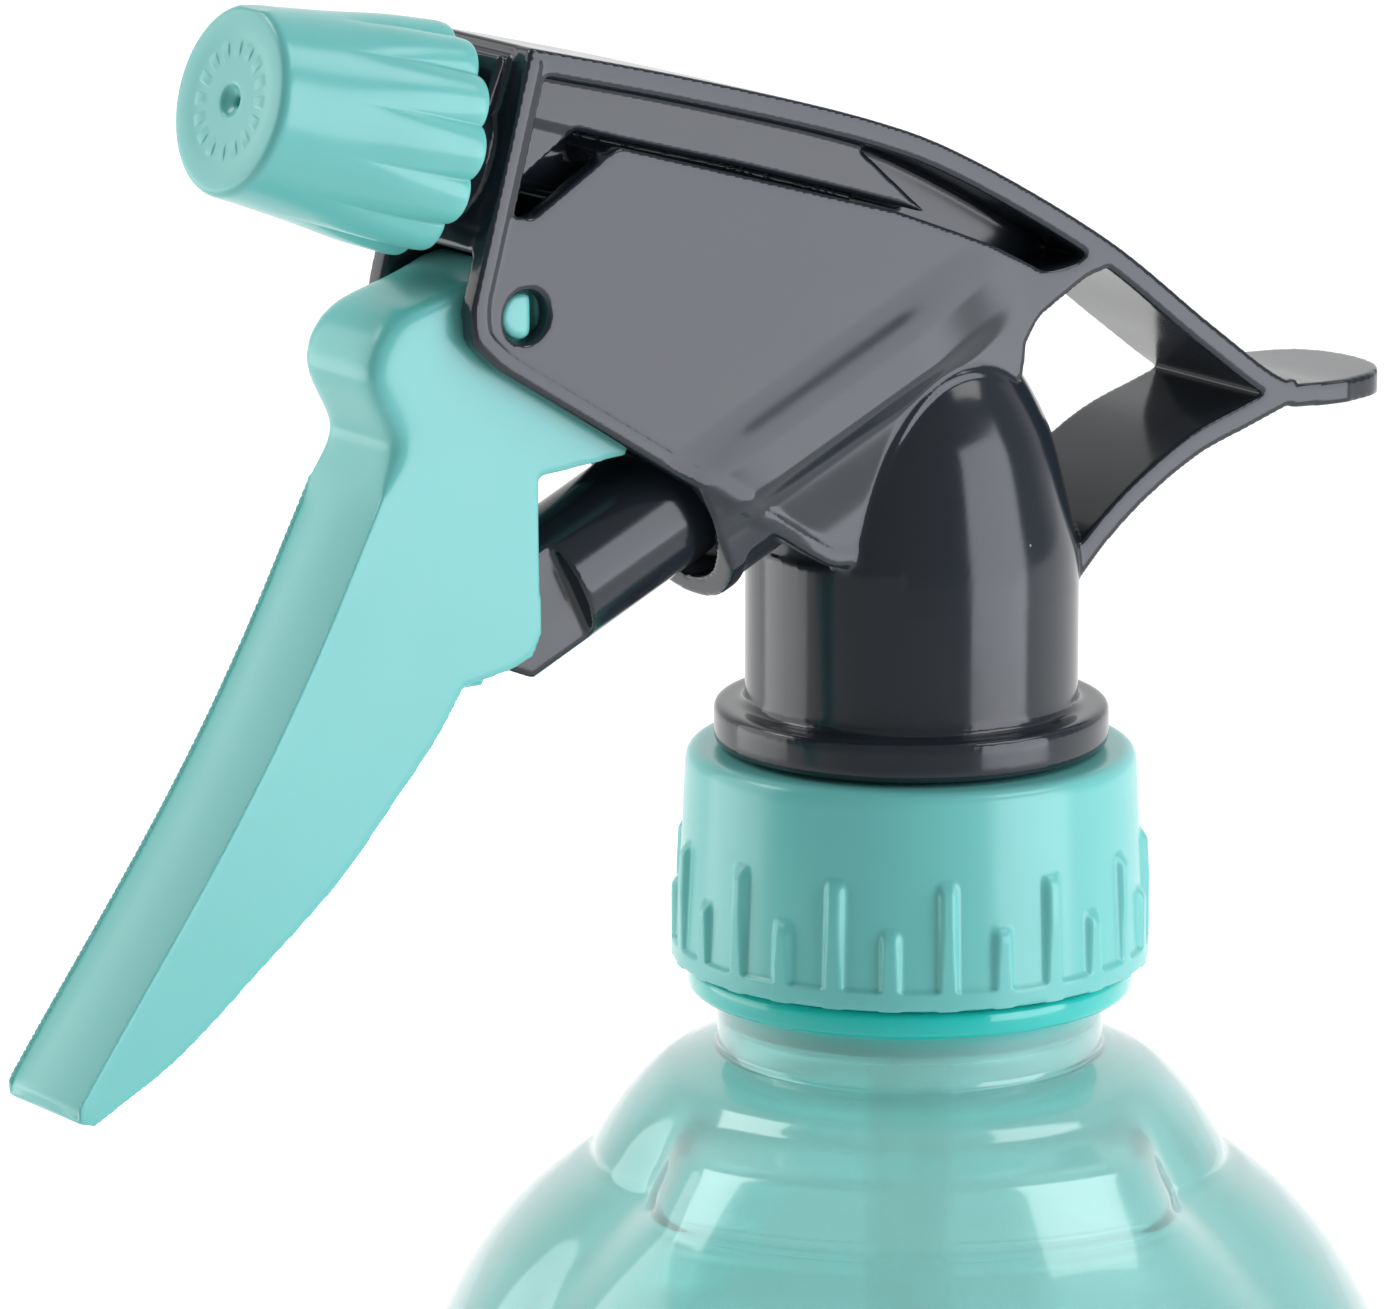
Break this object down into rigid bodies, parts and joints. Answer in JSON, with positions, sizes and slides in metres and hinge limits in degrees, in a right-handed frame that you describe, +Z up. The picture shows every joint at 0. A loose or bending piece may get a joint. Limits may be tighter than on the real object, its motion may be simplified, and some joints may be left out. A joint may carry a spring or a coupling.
{
  "type": "hand mister",
  "caption": "Trigger-pump hand mister: clear quilted bottle, ribbed screw collar, pump head with finger lever, adjustable nozzle and hand spur.",
  "frame": {"origin": "centre of the bottle's flat base", "axes": "+Z up along the bottle's axis, nozzle towards -X, near side of the picture towards -Y"},
  "size_m": [0.1206, 0.09, 0.194],
  "materials": {
    "aqua_plastic": "semi-gloss moulded plastic",
    "slate_plastic": "semi-gloss moulded plastic",
    "clear_bottle": "clear tinted plastic",
    "natural_plastic": "satin natural plastic",
    "black_rubber": "matt",
    "spring_steel": "drawn wire"
  },
  "bodies": {
    "bottle": {"bottle": "clear_bottle"},
    "seal": {"neck_gasket": "natural_plastic"},
    "head": {"spray_body": "slate_plastic", "valve_seat": "natural_plastic", "dip_tube": "natural_plastic", "swirl_core": "natural_plastic", "return_spring": "spring_steel", "outlet_spring": "spring_steel"},
    "collar": {"collar": "aqua_plastic"},
    "trigger": {"trigger": "aqua_plastic"},
    "piston": {"piston": "slate_plastic", "piston_cup": "natural_plastic", "vent_seal": "black_rubber"},
    "nozzle_seal": {"nozzle_oring": "black_rubber"},
    "nozzle": {"nozzle_cap": "aqua_plastic"},
    "inlet_ball": {"inlet_ball": "spring_steel"},
    "outlet_ball": {"outlet_ball": "spring_steel"}
  },
  "joints": [
    {"name": "head_lift", "type": "slide", "parent": "bottle", "child": "seal", "axis": [0, 0, 1], "range_m": [0, 0.13]},
    {"name": "thread_rise", "type": "slide", "parent": "seal", "child": "head", "axis": [0, 0, 1], "range_m": [0, 0.0064]},
    {"name": "collar_turn", "type": "hinge", "parent": "head", "child": "collar", "pos_m": [0, 0, 0.126], "axis": [0, 0, 1], "range_deg": [0, 540]},
    {"name": "trigger_pull", "type": "hinge", "parent": "head", "child": "trigger", "pos_m": [-0.0387, 0, 0.1711], "axis": [0, -1, 0], "range_deg": [0, 25], "stiffness_Nm_per_rad": 0.35, "springref_deg": -14.32},
    {"name": "piston_stroke", "type": "slide", "parent": "head", "child": "piston", "axis": [0.9018, 0, 0.4321], "range_m": [0, 0.01], "deforming": ["return_spring"]},
    {"name": "cap_advance", "type": "slide", "parent": "head", "child": "nozzle_seal", "axis": [-0.9646, 0, 0.2639], "range_m": [-0.001, 0.003]},
    {"name": "nozzle_turn", "type": "hinge", "parent": "nozzle_seal", "child": "nozzle", "pos_m": [-0.0404, 0, 0.1826], "axis": [-0.9646, 0, 0.2639], "range_deg": [-180, 540]},
    {"name": "inlet_ball_lift", "type": "slide", "parent": "head", "child": "inlet_ball", "axis": [0, 0, 1], "range_m": [0, 0.0012]},
    {"name": "outlet_ball_lift", "type": "slide", "parent": "head", "child": "outlet_ball", "axis": [-0.9646, 0, 0.2639], "range_m": [0, 0.0006], "stiffness_N_per_m": 15, "springref_m": -0.002, "deforming": ["outlet_spring"]}
  ],
  "couplings": [
    {"joint": "thread_rise", "follows": "collar_turn", "m_per_rad": 0.0006737},
    {"joint": "piston_stroke", "follows": "trigger_pull", "m_per_rad": 0.0226},
    {"joint": "cap_advance", "follows": "nozzle_turn", "m_per_rad": 0.00031831}
  ]
}
